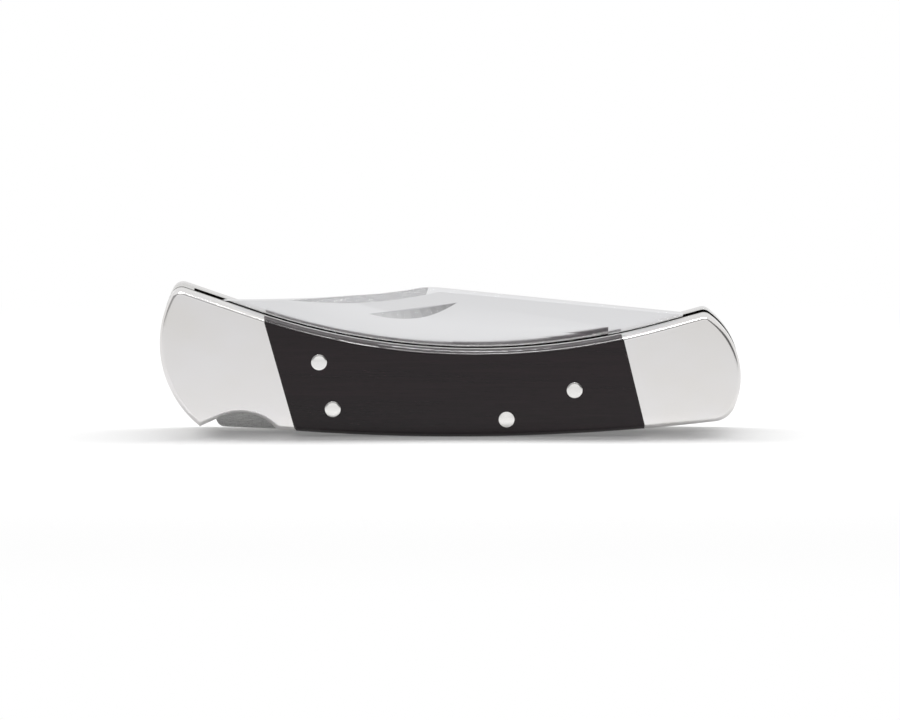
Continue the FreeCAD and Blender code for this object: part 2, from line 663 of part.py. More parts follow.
def spring_profile():
    """The leaf from its turned-up root in the spacer to its tip over the lock bar."""
    tip_from_butt = ROCKER_FROM_BUTT - SPRING_TIP_BEHIND_ROCKER
    tip_height = BAR_REAR_TOP + SPRING_TIP_CLEARANCE
    root_front = SPRING_ROOT_FROM_BUTT + SPRING_THICKNESS
    root_top = SPRING_HEIGHT + SPRING_THICKNESS + SPRING_ROOT_RISE
    return polygon([
        at(SPRING_ROOT_FROM_BUTT, SPRING_HEIGHT),
        at(SPRING_BEND_FROM_BUTT, SPRING_HEIGHT),
        at(tip_from_butt, tip_height),
        at(tip_from_butt, tip_height + SPRING_THICKNESS),
        at(SPRING_BEND_FROM_BUTT, SPRING_HEIGHT + SPRING_THICKNESS),
        at(root_front, SPRING_HEIGHT + SPRING_THICKNESS),
        at(root_front, root_top),
        at(SPRING_ROOT_FROM_BUTT, root_top),
    ])


def lock_spring():
    half = SLOT_WIDTH / 2 - SPRING_SIDE_CLEARANCE
    return plate(spring_profile(), -half, half)


def butt_spacer():
    """The block between the liners at the butt, with the seat of the spring."""
    high = OUTLINE.BoundBox.ZMax + OVERRUN
    region = polygon([
        at(-OVERRUN, -OVERRUN),
        at(SPACER_FACE_FROM_BUTT, -OVERRUN),
        at(SPACER_FACE_FROM_BUTT, SPACER_TOE_BOTTOM),
        at(SPACER_TOE_FROM_BUTT, SPACER_TOE_BOTTOM),
        at(SPACER_TOE_FROM_BUTT, SPACER_TOE_TOP),
        at(SLOT_END_FROM_BUTT, SPACER_BEND_HEIGHT),
        at(SLOT_END_FROM_BUTT, high),
        at(-OVERRUN, high),
    ])
    block = plate(OUTLINE.common(region), -SLOT_WIDTH / 2, SLOT_WIDTH / 2)
    block = block.cut(plate(spring_profile(), -SLOT_WIDTH, SLOT_WIDTH))
    return drilled(block, BUTT_PINS, BUTT_PIN_DIAMETER)


def pieces():
    """Every piece of the knife under its name."""
    cover = front_cover()
    front = {
        "liner": front_liner(),
        "butt_bolster": front_butt_bolster(cover),
        "pivot_bolster": front_pivot_bolster(cover),
        "scale": front_scale(cover),
        "scale_rivets": front_scale_rivets(),
        "bolster_pins": front_bolster_pins(),
    }
    named = {
        "blade": blade(),
        "pivot_pin": pivot_pin(),
        "pivot_bushing": pivot_bushing(),
        "rocker_pin": rocker_pin(),
        "lock_bar": lock_bar(),
        "lock_spring": lock_spring(),
        "butt_spacer": butt_spacer(),
        "butt_bolster_pins": butt_bolster_pins(),
    }
    for name, shape in front.items():
        named["front_" + name] = shape
        named["back_" + name] = mirrored(shape)
    return named


os.makedirs("parts", exist_ok=True)
for piece_name, piece in pieces().items():
    piece.exportStep(f"parts/{piece_name}.step")
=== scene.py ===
"""A lock-back folding knife, closed, in nickel silver, dark wood and steel, on a white studio floor."""

import math
from collections import namedtuple

import bmesh
import bpy
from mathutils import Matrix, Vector


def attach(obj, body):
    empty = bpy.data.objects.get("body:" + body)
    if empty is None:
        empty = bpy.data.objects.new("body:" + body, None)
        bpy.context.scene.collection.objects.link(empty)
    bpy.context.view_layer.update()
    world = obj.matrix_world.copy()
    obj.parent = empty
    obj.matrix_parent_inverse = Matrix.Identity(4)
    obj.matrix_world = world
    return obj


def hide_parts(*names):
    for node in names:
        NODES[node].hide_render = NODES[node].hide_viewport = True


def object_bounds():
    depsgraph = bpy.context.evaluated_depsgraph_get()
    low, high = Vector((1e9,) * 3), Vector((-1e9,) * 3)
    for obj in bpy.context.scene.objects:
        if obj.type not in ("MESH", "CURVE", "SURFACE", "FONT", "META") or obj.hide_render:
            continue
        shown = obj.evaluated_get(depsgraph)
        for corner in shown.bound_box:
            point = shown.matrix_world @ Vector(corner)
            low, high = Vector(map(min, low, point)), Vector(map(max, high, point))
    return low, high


bl_info = {
    "name": "Folding knife dressing",
    "version": (1, 0, 0),
    "blender": (4, 5, 0),
    "location": "View3D > Sidebar > Knife",
    "description": "Gives a lock-back folding knife its wood, metals, rivets and studio",
    "category": "Object",
}

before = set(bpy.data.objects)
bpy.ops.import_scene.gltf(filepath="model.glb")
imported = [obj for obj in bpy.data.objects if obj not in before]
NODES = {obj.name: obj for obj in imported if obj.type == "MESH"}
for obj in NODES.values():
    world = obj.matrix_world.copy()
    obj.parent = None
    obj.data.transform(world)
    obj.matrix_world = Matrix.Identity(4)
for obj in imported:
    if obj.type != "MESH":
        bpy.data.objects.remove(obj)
CAD_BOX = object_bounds()

MM = 0.001
IMAGE_WIDTH_PX = 900
SENSOR_WIDTH_MM = 36.0
MERGE_DISTANCE = 0.001 * MM

# Polished metals: how much the polishing lines, the cloudy patches and the warm tarnish show
Polish = namedtuple("Polish", "lines clouds tarnish")
BOLSTER_POLISH = Polish(lines=0.035, clouds=0.03, tarnish=0.05)
LINER_POLISH = Polish(lines=0.10, clouds=0.05, tarnish=0.06)
PIN_POLISH = Polish(lines=0.08, clouds=0.03, tarnish=0.03)
RIVET_POLISH = Polish(lines=0.05, clouds=0.04, tarnish=0.03)
BRONZE_POLISH = Polish(lines=0.10, clouds=0.10, tarnish=0.20)
BLADE_POLISH = Polish(lines=0.05, clouds=0.03, tarnish=0.0)
TARNISH_SHARES = (0.4, 0.55, 1.0)

# Ground metals: how much the roughness and the tone change over the mottled face
Grind = namedtuple("Grind", "spread contrast")
LOCK_GRIND = Grind(spread=0.20, contrast=0.55)
SPRING_GRIND = Grind(spread=0.10, contrast=0.15)
SPRING_TONE_SHARE = 0.8

# Relief of a surface: strength and depth of its bumps
Relief = namedtuple("Relief", "strength distance")
POLISH_RELIEF = Relief(0.05, 0.02 * MM)
GRIND_RELIEF = Relief(0.12, 0.03 * MM)
BLADE_RELIEF = Relief(0.06, 0.02 * MM)
WOOD_RELIEF = Relief(0.18, 0.05 * MM)

# Liners: painted shade along the blade slot, a dark line beside the blade that ends between these two
# distances from the slot
FRONT_SHADE_END = (0.75 * MM, 0.85 * MM)
BACK_SHADE_END = (0.02 * MM, 0.08 * MM)
# Painted shade: the near-black of the dark slot, laid on the liners' top beside the blade
SLOT_SHADE_TONE = (0.012, 0.011, 0.010)
LINER_SPECULAR = 0.5

# Blade: the swedge and the nick are the faces that lean up this much (1 is level)
BLADE_SHARP_ANGLE = math.radians(8)
SWEDGE_LEAN = (0.5, 0.95)
NICK_LEAN = (0.08, 0.5)
SWEDGE_SPREAD = 0.10
SWEDGE_DULL_SHARE = 0.56
SWEDGE_LIGHT_SHARE = 0.74
SWEDGE_MOTTLE = (0.25, 0.75)

# Wood: fades at both ends of the rounding, as shares of its width measured from the face
PORE_TONE = (0.004, 0.003, 0.003)
SAWN_FADE_SHARES = (1.1, 1.0)
FACE_FADE_SHARES = (0.06, 0.02)
SAWN_ROUGHNESS = 0.10
WOOD_COAT_ROUGHNESS = 0.14
WOOD_SPECULAR = 0.32

# Pins: rings of faces on a head and along the shaft, the share of the length between the middle and a
# head, and how late the rim drops off
PIN_HEAD_RINGS = 10
PIN_SHAFT_RINGS = 3
PIN_HEAD_FROM_SHARE = 0.499
RIM_STEEPNESS = 24.0
PIN_SHARP_ANGLE = math.radians(40)

# Floor: distances from the knife over which it turns from taking a shadow to shining by itself, as it is
# seen and as the metal mirrors it, and the places in front over which the mirrored shine falls off
FLOOR_HALF_WIDTH = 4.0
FLOOR_SEEN_FADE = (0.05, 0.20)
FLOOR_MIRRORED_FADE = (0.012, 0.04)
FLOOR_FORWARD_FADE = (0.03, 0.24)

# Room that the metal mirrors, in degrees over the horizon or away from straight ahead
GAP_FOOT = (0.0, 3.0)
GAP_TOP_FADE = 4.0
GAP_SIDES = (62.0, 80.0)
GAP_LEFT = (-28.0, -15.0)
GAP_TONE = 0.14
GAP_LEFT_TONE = 0.40
CARD_SIDES = (13.0, 17.0)
CARD_TOP_FADE = 2.0
LAMP_SIDES = (22.0, 30.0)
LAMP_FOOT = (53.0, 56.0)
LAMP_TOP = (59.0, 62.0)

# Room, by how far a direction points to the back or to a side (1 is straight)
BACK_WALL_FADE = (0.5, 0.9)
SIDE_FILL_FADE = (0.5, 0.95)

CLIP_NEAR = 0.01
CLIP_FAR = 50.0


# Property groups

def number(name, description, default, **kind):
    """A plain number, or one with the unit or the limits that are given."""
    return bpy.props.FloatProperty(name=name, description=description, default=default, **kind)


def share(name, description, default):
    """A number from nothing to all."""
    return number(name, description, default, min=0.0, max=1.0, subtype="FACTOR")


def length(name, description, default):
    """A length in metres."""
    return number(name, description, default, unit="LENGTH", subtype="DISTANCE", precision=5)


def colour(name, description, default):
    """A colour with three parts."""
    return bpy.props.FloatVectorProperty(
        name=name, description=description, default=default, size=3, min=0.0, max=1.0, subtype="COLOR"
    )


def place(name, description, default):
    """A point in the frame."""
    return bpy.props.FloatVectorProperty(
        name=name, description=description, default=default, size=3, unit="LENGTH", subtype="XYZ"
    )


class KnifeWood(bpy.types.PropertyGroup):
    """Looks of the dark wood scales."""

    ground: colour("Ground", "Darkest tone of the wood", (0.0102, 0.0050, 0.0070))
    streak: colour("Streak", "Warm tone of the lighter grain", (0.0215, 0.0118, 0.0150))
    roughness: share("Roughness", "Roughness of the oiled surface", 0.27)
    pores: share("Pores", "How deep the open pores look", 0.35)
    edge: length("Edge", "Width of the polished rounding, inside which the sawn edge stays dull", 1.0 * MM)


class KnifeMetal(bpy.types.PropertyGroup):
    """Looks of the bolsters, liners, pins, blade and lock."""

    bolster: colour("Bolsters", "Polished nickel silver", (0.770, 0.758, 0.760))
    liner: colour("Liners", "Satin nickel silver", (0.70, 0.695, 0.685))
    blade: colour("Blade", "Fine polished steel", (0.80, 0.80, 0.812))
    rivet: colour("Rivets", "Polished rivet heads", (0.82, 0.812, 0.805))
    lock: colour("Lock", "Ground steel of the lock bar and its spring", (0.49, 0.49, 0.485))
    bronze: colour("Bushing", "Plain bearing bronze", (0.62, 0.40, 0.19))
    bolster_roughness: share("Bolster roughness", "Roughness of the polished bolsters", 0.15)
    liner_roughness: share("Liner roughness", "Roughness of the liners and the butt spacer", 0.26)
    pin_roughness: share("Pin roughness", "Roughness of the hidden pins", 0.22)
    rivet_roughness: share("Rivet roughness", "Roughness of the rivet heads", 0.17)
    bronze_roughness: share("Bushing roughness", "Roughness of the bronze bushing", 0.30)
    lock_roughness: share("Lock roughness", "Roughness of the lock bar", 0.42)
    spring_roughness: share("Spring roughness", "Roughness of the leaf spring", 0.34)
    blade_roughness: share("Blade roughness", "Roughness of the polished blade", 0.12)
    satin_roughness: share("Satin roughness", "Roughness of the swedge", 0.20)
    nick_satin: share("Nick satin", "How much of the swedge's satin the nail nick has", 0.3)


class KnifeRivets(bpy.types.PropertyGroup):
    """Sizes of the domed rivets and of the rocker pin."""

    dome: length("Dome", "How far a head stands proud of the wood", 0.14 * MM)
    rim: length("Rim", "Rounding at the rim of a head", 0.05 * MM)
    sides: bpy.props.IntProperty(
        name="Sides", description="Sides of a round rivet", default=64, min=12, max=128
    )


class KnifeStage(bpy.types.PropertyGroup):
    """Floor, light and camera."""

    floor: colour("Floor", "Colour of the floor under the light", (0.80, 0.80, 0.80))
    lift: share("Lift", "How much the floor shines by itself where it is seen", 0.17)
    fill: share("Fill", "Level of the light from all round", 0.12)
    side_fill: share("Side fill", "Level of the light that comes in low from the left and the right", 1.0)
    softbox_power: number("Softbox power", "Power of the overhead softbox", 11.0, unit="POWER")
    softbox_length: length("Softbox length", "Length of the softbox along the knife", 2.4)
    softbox_depth: length("Softbox depth", "Depth of the softbox across the knife", 0.25)
    softbox_place: place("Softbox place", "Middle of the overhead softbox", (0.0, 0.22, 0.65))
    far_shine: share("Far shine", "Level of the floor far in front, as the metal mirrors it", 0.86)
    lamp_shine: number("Lamp shine", "Level of the lamp over the camera, as the knife mirrors it", 34.0)
    back_wall: share("Back wall", "Level of the wall behind, as the metal mirrors it", 0.85)
    card_top: number("Card top", "Top of the white card in front, in degrees over the horizon", 15.0)
    gap_top: number("Gap top", "Top of the dark gap in front, in degrees over the horizon", 28.5)
    elevation: number(
        "Elevation", "Height of the camera over the horizon", math.radians(8.03),
        unit="ROTATION", subtype="ANGLE"
    )
    distance: length("Distance", "Distance from the camera to the knife", 1.5)
    scale_px_per_mm: number("Scale", "Image pixels per millimetre at the front side", 4.692)
    aim: place("Aim", "Point in the middle of the image", (-0.00008, -0.00814, 0.01664))


# Node helpers

def add_node(tree, kind, inputs=None, **settings):
    """A node with its settings, whose inputs take a value or come from another node's socket."""
    node = tree.nodes.new(kind)
    for key, value in settings.items():
        setattr(node, key, value)
    for key, value in (inputs or {}).items():
        feed(tree, node.inputs[key], value)
    return node


def feed(tree, socket, value):
    """Gives an input a value, or links it to another node's socket."""
    if isinstance(value, bpy.types.NodeSocket):
        tree.links.new(value, socket)
    else:
        socket.default_value = value


def math_node(tree, operation, *values, clamp=False):
    """The result of one sum."""
    inputs = dict(enumerate(values))
    return add_node(tree, "ShaderNodeMath", inputs, operation=operation, use_clamp=clamp).outputs[0]


def product(tree, first, *others):
    """All values multiplied."""
    for other in others:
        first = math_node(tree, "MULTIPLY", first, other)
    return first


def weighted_sum(tree, first, second, clamp=False):
    """The sum of two values, each given with its weight."""
    return math_node(tree, "ADD", product(tree, *first), product(tree, *second), clamp=clamp)


def remap(tree, value, low, high, to_low=0.0, to_high=1.0, smooth=False):
    """A value stretched from one range to another and held inside it."""
    inputs = {"Value": value, "From Min": low, "From Max": high, "To Min": to_low, "To Max": to_high}
    kind = "SMOOTHSTEP" if smooth else "LINEAR"
    return add_node(tree, "ShaderNodeMapRange", inputs, interpolation_type=kind).outputs["Result"]


def fade_in(tree, value, span):
    """Nothing under the span, all over it."""
    return remap(tree, value, *span, smooth=True)


def fade_out(tree, value, span):
    """All under the span, nothing over it."""
    return remap(tree, value, *span, 1.0, 0.0, smooth=True)


def mix_value(tree, factor, first, second):
    """A value between two others."""
    return add_node(tree, "ShaderNodeMix", {0: factor, 2: first, 3: second}).outputs[0]


def mix_colour(tree, factor, first, second):
    """A colour between two others."""
    node = add_node(tree, "ShaderNodeMix", data_type="RGBA")
    sockets = {socket.identifier: socket for socket in node.inputs}
    feed(tree, sockets["Factor_Float"], factor)
    feed(tree, sockets["A_Color"], first)
    feed(tree, sockets["B_Color"], second)
    return next(socket for socket in node.outputs if socket.identifier == "Result_Color")


def rgba(tone):
    """A colour with its alpha."""
    return (*tone, 1.0)


def grey(level):
    """A grey with its alpha."""
    return (level, level, level, 1.0)


def scaled(tone, factor):
    """A lighter or darker copy of a colour."""
    return tuple(part * factor for part in tone)


def object_axes(tree):
    """The object's own coordinates, one socket for each axis."""
    spot = add_node(tree, "ShaderNodeTexCoord").outputs["Object"]
    return add_node(tree, "ShaderNodeSeparateXYZ", {0: spot}).outputs


def stretched_noise(tree, stretch, detail=3.0, roughness=0.55, offset=(0.0, 0.0, 0.0)):
    """Noise on the object's own coordinates, with its features per millimetre along each axis."""
    spot = add_node(tree, "ShaderNodeTexCoord").outputs["Object"]
    per_metre = tuple(value / MM for value in stretch)
    mapped = add_node(tree, "ShaderNodeMapping", {"Vector": spot, "Scale": per_metre, "Location": offset})
    inputs = {"Vector": mapped.outputs[0], "Scale": 1.0, "Detail": detail, "Roughness": roughness}
    return add_node(tree, "ShaderNodeTexNoise", inputs).outputs["Fac"]


def new_group(name, inputs, outputs):
    """A shader node group with plain number sockets: its inputs with their defaults, and its outputs."""
    group = bpy.data.node_groups.new(name, "ShaderNodeTree")
    for key, default in inputs.items():
        socket = group.interface.new_socket(key, in_out="INPUT", socket_type="NodeSocketFloat")
        socket.default_value = default
    for key in outputs:
        group.interface.new_socket(key, in_out="OUTPUT", socket_type="NodeSocketFloat")
    return group, group.nodes.new("NodeGroupInput").outputs, group.nodes.new("NodeGroupOutput").inputs


def place_group(tree, name, **inputs):
    """The outputs of a node group that is placed in a material with its own values."""
    node = tree.nodes.new("ShaderNodeGroup")
    node.node_tree = bpy.data.node_groups[name]
    for key, value in inputs.items():
        node.inputs[key.capitalize()].default_value = value
    return node.outputs


# Shared surface effects

def make_polish_marks():
    """Hair-fine lines of polishing along the knife, with cloudy patches where a hand has rubbed it."""
    group, source, sink = new_group(
        "polish_marks", {"Base": 0.15, "Lines": 0.04, "Clouds": 0.04}, ("Roughness", "Height", "Clouds")
    )
    along = stretched_noise(group, stretch=(0.22, 9.0, 9.0), detail=4.0)
    crossed = stretched_noise(group, stretch=(5.0, 5.0, 0.5), detail=2.0, offset=(3.0, 1.0, 7.0))
    clouds = stretched_noise(group, stretch=(0.07, 0.07, 0.09), detail=2.0, offset=(0.0, 5.0, 2.0))
    fine = weighted_sum(group, (along, 0.7), (crossed, 0.3))
    line_depth = remap(group, fine, 0.35, 0.68, -0.5, 0.5)
    cloud_depth = remap(group, clouds, 0.3, 0.7, -0.5, 0.5)
    change = weighted_sum(group, (line_depth, source["Lines"]), (cloud_depth, source["Clouds"]))
    group.links.new(math_node(group, "ADD", source["Base"], change, clamp=True), sink["Roughness"])
    group.links.new(fine, sink["Height"])
    group.links.new(remap(group, clouds, 0.3, 0.7), sink["Clouds"])


def make_ground_steel():
    """The mottled face of steel that comes from the grinding wheel and isn't polished."""
    group, source, sink = new_group(
        "ground_steel", {"Base": 0.4, "Spread": 0.15}, ("Roughness", "Height", "Mottle")
    )
    lines = stretched_noise(group, stretch=(0.5, 6.0, 6.0), detail=3.0, offset=(4.0, 0.0, 0.0))
    blotch = stretched_noise(group, stretch=(3.0, 3.0, 3.6), detail=4.0, roughness=0.65)
    mottle = remap(group, weighted_sum(group, (lines, 0.45), (blotch, 0.55)), 0.36, 0.64)
    change = product(group, math_node(group, "SUBTRACT", mottle, 0.5), source["Spread"])
    group.links.new(math_node(group, "ADD", source["Base"], change, clamp=True), sink["Roughness"])
    group.links.new(lines, sink["Height"])
    group.links.new(mottle, sink["Mottle"])


def make_wood_grain():
    """Straight grain along the handle with short open pores."""
    group, source, sink = new_group(
        "wood_grain", {"Roughness": 0.4, "Pores": 0.3}, ("Streaks", "Pores", "Roughness", "Height")
    )
    bands = stretched_noise(group, stretch=(0.022, 0.35, 0.42), detail=4.0, roughness=0.6)
    threads = stretched_noise(
        group, stretch=(0.09, 2.4, 2.8), detail=3.0, roughness=0.6, offset=(1.0, 2.0, 3.0)
    )
    pores = stretched_noise(group, stretch=(0.42, 5.5, 6.5), detail=1.0, offset=(9.0, 4.0, 1.0))
    light_bands = remap(group, bands, 0.42, 0.72)
    light_threads = remap(group, threads, 0.42, 0.75)
    streaks = weighted_sum(group, (light_bands, 0.65), (light_threads, 0.45), clamp=True)
    pits = product(group, fade_in(group, pores, (0.60, 0.70)), source["Pores"])
    dull = math_node(group, "ADD", source["Roughness"], product(group, streaks, 0.10))
    rough = math_node(group, "ADD", dull, product(group, pits, 0.3), clamp=True)
    height = math_node(group, "SUBTRACT", product(group, threads, 0.35), pits)
    group.links.new(streaks, sink["Streaks"])
    group.links.new(pits, sink["Pores"])
    group.links.new(rough, sink["Roughness"])
    group.links.new(height, sink["Height"])


# Materials

def new_material(name):
    """A material, its node tree and its Principled shader."""
    material = bpy.data.materials.new(name)
    material.use_nodes = True
    tree = material.node_tree
    return material, tree, tree.nodes["Principled BSDF"]


def bump(tree, shader, height, relief):
    """Raises and lowers the surface by a height that changes over it."""
    inputs = {"Height": height, "Strength": relief.strength, "Distance": relief.distance}
    node = add_node(tree, "ShaderNodeBump", inputs)
    tree.links.new(node.outputs["Normal"], shader.inputs["Normal"])


def polish_marks(tree, roughness, polish):
    """The shared polishing marks with the values of one metal."""
    return place_group(tree, "polish_marks", base=roughness, lines=polish.lines, clouds=polish.clouds)


def polished_metal(name, tone, roughness, polish):
    """Metal with hair-fine polishing lines and a faint warm cast in its cloudy patches."""
    material, tree, shader = new_material(name)
    marks = polish_marks(tree, roughness, polish)
    warm = tuple(part * (1 - loss * polish.tarnish) for part, loss in zip(tone, TARNISH_SHARES))
    tree.links.new(mix_colour(tree, marks["Clouds"], rgba(tone), rgba(warm)), shader.inputs["Base Color"])
    tree.links.new(marks["Roughness"], shader.inputs["Roughness"])
    shader.inputs["Metallic"].default_value = 1.0
    bump(tree, shader, marks["Height"], POLISH_RELIEF)
    return material


def liner_metal(name, tone, roughness, slot):
    """Satin metal with painted shade along the blade slot: a dull, dark line, which is wider on the front
    liner.
    """
    material = polished_metal(name, tone, roughness, LINER_POLISH)
    tree = material.node_tree
    shader = tree.nodes["Principled BSDF"]
    across = object_axes(tree)["Y"]
    front = remap(tree, product(tree, across, -1.0), *(slot / 2 + end for end in FRONT_SHADE_END))
    back = remap(tree, across, *(slot / 2 + end for end in BACK_SHADE_END))
    # Painted shade: inside these distances the liner is black, not metal and without shine, standing for the
    # dark slot
    outside = math_node(tree, "MAXIMUM", front, back)
    bright = shader.inputs["Base Color"].links[0].from_socket
    tree.links.new(mix_colour(tree, outside, rgba(SLOT_SHADE_TONE), bright), shader.inputs["Base Color"])
    tree.links.new(outside, shader.inputs["Metallic"])
    tree.links.new(product(tree, outside, LINER_SPECULAR), shader.inputs["Specular IOR Level"])
    return material


def ground_metal(name, tone, roughness, grind):
    """Metal with the mottled face of a grinding wheel."""
    material, tree, shader = new_material(name)
    face = place_group(tree, "ground_steel", base=roughness, spread=grind.spread)
    dark = scaled(tone, 1 - grind.contrast)
    tree.links.new(mix_colour(tree, face["Mottle"], rgba(dark), rgba(tone)), shader.inputs["Base Color"])
    tree.links.new(face["Roughness"], shader.inputs["Roughness"])
    shader.inputs["Metallic"].default_value = 1.0
    bump(tree, shader, face["Height"], GRIND_RELIEF)
    return material


def blade_steel(name, look):
    """Polished steel whose swedge and nick are satin; the mesh says where, in its satin attribute."""
    material, tree, shader = new_material(name)
    marks = polish_marks(tree, look.blade_roughness, BLADE_POLISH)
    face = place_group(tree, "ground_steel", base=look.satin_roughness, spread=SWEDGE_SPREAD)
    satin = add_node(tree, "ShaderNodeAttribute", attribute_name="satin").outputs["Fac"]
    dull = scaled(look.blade, SWEDGE_DULL_SHARE)
    light = scaled(look.blade, SWEDGE_LIGHT_SHARE)
    mottle = remap(tree, face["Mottle"], *SWEDGE_MOTTLE)
    speckled = mix_colour(tree, mottle, rgba(dull), rgba(light))
    rough = mix_value(tree, satin, marks["Roughness"], face["Roughness"])
    height = mix_value(tree, satin, marks["Height"], face["Height"])
    tree.links.new(mix_colour(tree, satin, rgba(look.blade), speckled), shader.inputs["Base Color"])
    tree.links.new(rough, shader.inputs["Roughness"])
    shader.inputs["Metallic"].default_value = 1.0
    bump(tree, shader, height, BLADE_RELIEF)
    return material


def dark_wood(name, look, face):
    """Oiled wood with a polished face and rounding, and a dull sawn edge further in."""
    material, tree, shader = new_material(name)
    grain = place_group(tree, "wood_grain", roughness=look.roughness, pores=look.pores)
    tone = mix_colour(tree, grain["Streaks"], rgba(look.ground), rgba(look.streak))
    tree.links.new(mix_colour(tree, grain["Pores"], tone, rgba(PORE_TONE)), shader.inputs["Base Color"])
    across = math_node(tree, "ABSOLUTE", object_axes(tree)["Y"])
    sawn_fade = [face - look.edge * width for width in SAWN_FADE_SHARES]
    face_fade = [face - look.edge * width for width in FACE_FADE_SHARES]
    sawn = remap(tree, across, *sawn_fade, SAWN_ROUGHNESS, 0.0)
    rounding = product(tree, remap(tree, across, *sawn_fade), remap(tree, across, *face_fade, 1.0, 0.0))
    tree.links.new(math_node(tree, "ADD", grain["Roughness"], sawn), shader.inputs["Roughness"])
    tree.links.new(rounding, shader.inputs["Coat Weight"])
    shader.inputs["Coat Roughness"].default_value = WOOD_COAT_ROUGHNESS
    shader.inputs["Specular IOR Level"].default_value = WOOD_SPECULAR
    bump(tree, shader, grain["Height"], WOOD_RELIEF)
    return material


def set_material(material, *nodes):
    """Puts a material on CAD nodes."""
    for node in nodes:
        for slot in NODES[node].material_slots:
            slot.material = material


# Meshes

def new_piece(name, mesh, body, slot, *replaced):
    """A finished piece in place of CAD nodes, which rides on their body."""
    piece = bpy.data.objects.new(name, mesh)
    bpy.context.scene.collection.objects.link(piece)
    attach(piece, body)
    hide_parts(*replaced)


def joined_triangles(mesh):
    """An editing copy of a mesh with its loose triangles joined."""
    work = bmesh.new()
    work.from_mesh(mesh)
    bmesh.ops.remove_doubles(work, verts=work.verts, dist=MERGE_DISTANCE)
    return work


def merged_mesh(node, name, material, sharp_angle):
    """A copy of a CAD node's mesh with its triangles joined and its round faces smooth."""
    work = joined_triangles(NODES[node].data)
    mesh = bpy.data.meshes.new(name)
    work.to_mesh(mesh)
    work.free()
    mesh.shade_smooth()
    mesh.set_sharp_from_angle(angle=sharp_angle)
    mesh.materials.append(material)
    return mesh


def linked_corners(start, left):
    """The lowest and highest corner of what hangs together with a vertex, which is taken out of left."""
    stack = [start]
    found = []
    while stack:
        vert = stack.pop()
        found.append(vert.co.copy())
        for edge in vert.link_edges:
            other = edge.other_vert(vert)
            if other in left:
                left.remove(other)
                stack.append(other)
    return Vector(map(min, *found)), Vector(map(max, *found))


def solid_corners(node):
    """The lowest and highest corner of each separate solid of a CAD node, from the butt to the pivot."""
    work = joined_triangles(NODES[node].data)
    left = set(work.verts)
    solids = []
    while left:
        solids.append(linked_corners(left.pop(), left))
    work.free()
    return sorted(solids, key=lambda solid: solid[0].x)


def head_rise(tree, source):
    """How far each point of a pin's two ends moves along it, to make domed heads with a rounded rim."""
    spot = tree.nodes.new("GeometryNodeInputPosition").outputs[0]
    axes = add_node(tree, "ShaderNodeSeparateXYZ", {0: spot}).outputs
    squares = [math_node(tree, "POWER", axes[axis], 2.0) for axis in "XY"]
    radius = math_node(tree, "SQRT", math_node(tree, "ADD", *squares))
    out_share = math_node(tree, "DIVIDE", radius, source["Radius"])
    crown = math_node(tree, "SUBTRACT", 1.0, math_node(tree, "POWER", out_share, 2.0))
    rim = product(tree, math_node(tree, "POWER", out_share, RIM_STEEPNESS), source["Rim"])
    near_rise = math_node(tree, "SUBTRACT", product(tree, crown, source["Dome"]), rim)
    far_rise = product(tree, crown, source["Far dome"])
    half = product(tree, source["Length"], PIN_HEAD_FROM_SHARE)
    top = math_node(tree, "GREATER_THAN", axes["Z"], half)
    bottom = math_node(tree, "LESS_THAN", axes["Z"], product(tree, half, -1.0))
    return math_node(tree, "SUBTRACT", product(tree, top, near_rise), product(tree, bottom, far_rise))


PIN_SOCKETS = {
    "Geometry": "Geometry", "Radius": "Float", "Length": "Float", "Dome": "Float", "Rim": "Float",
    "Far dome": "Float", "Sides": "Int", "Turn": "Rotation", "Material": "Material",
}


def pin_tree():
    """Geometry nodes that set a pin with domed heads on every point of a mesh."""
    tree = bpy.data.node_groups.new("domed_pins", "GeometryNodeTree")
    for name, kind in PIN_SOCKETS.items():
        tree.interface.new_socket(name, in_out="INPUT", socket_type="NodeSocket" + kind)
    tree.interface.new_socket("Geometry", in_out="OUTPUT", socket_type="NodeSocketGeometry")
    source = tree.nodes.new("NodeGroupInput").outputs
    sink = tree.nodes.new("NodeGroupOutput").inputs

    shaft = {
        "Vertices": source["Sides"], "Side Segments": PIN_SHAFT_RINGS, "Fill Segments": PIN_HEAD_RINGS,
        "Radius": source["Radius"], "Depth": source["Length"],
    }
    plain = add_node(tree, "GeometryNodeMeshCylinder", shaft, fill_type="TRIANGLE_FAN").outputs["Mesh"]
    offset = add_node(tree, "ShaderNodeCombineXYZ", {"Z": head_rise(tree, source)}).outputs[0]
    shaped = add_node(tree, "GeometryNodeSetPosition", {"Geometry": plain, "Offset": offset}).outputs[0]
    pin = add_node(tree, "GeometryNodeSetShadeSmooth", {"Geometry": shaped}).outputs[0]
    points = add_node(tree, "GeometryNodeMeshToPoints", {"Mesh": source["Geometry"]}).outputs[0]
    setting = {"Points": points, "Instance": pin, "Rotation": source["Turn"]}
    pins = add_node(tree, "GeometryNodeInstanceOnPoints", setting).outputs[0]
    real = add_node(tree, "GeometryNodeRealizeInstances", {"Geometry": pins}).outputs[0]
    finish = {"Geometry": real, "Material": source["Material"]}
    dressed = add_node(tree, "GeometryNodeSetMaterial", finish).outputs[0]
    tree.links.new(dressed, sink[0])
    return tree


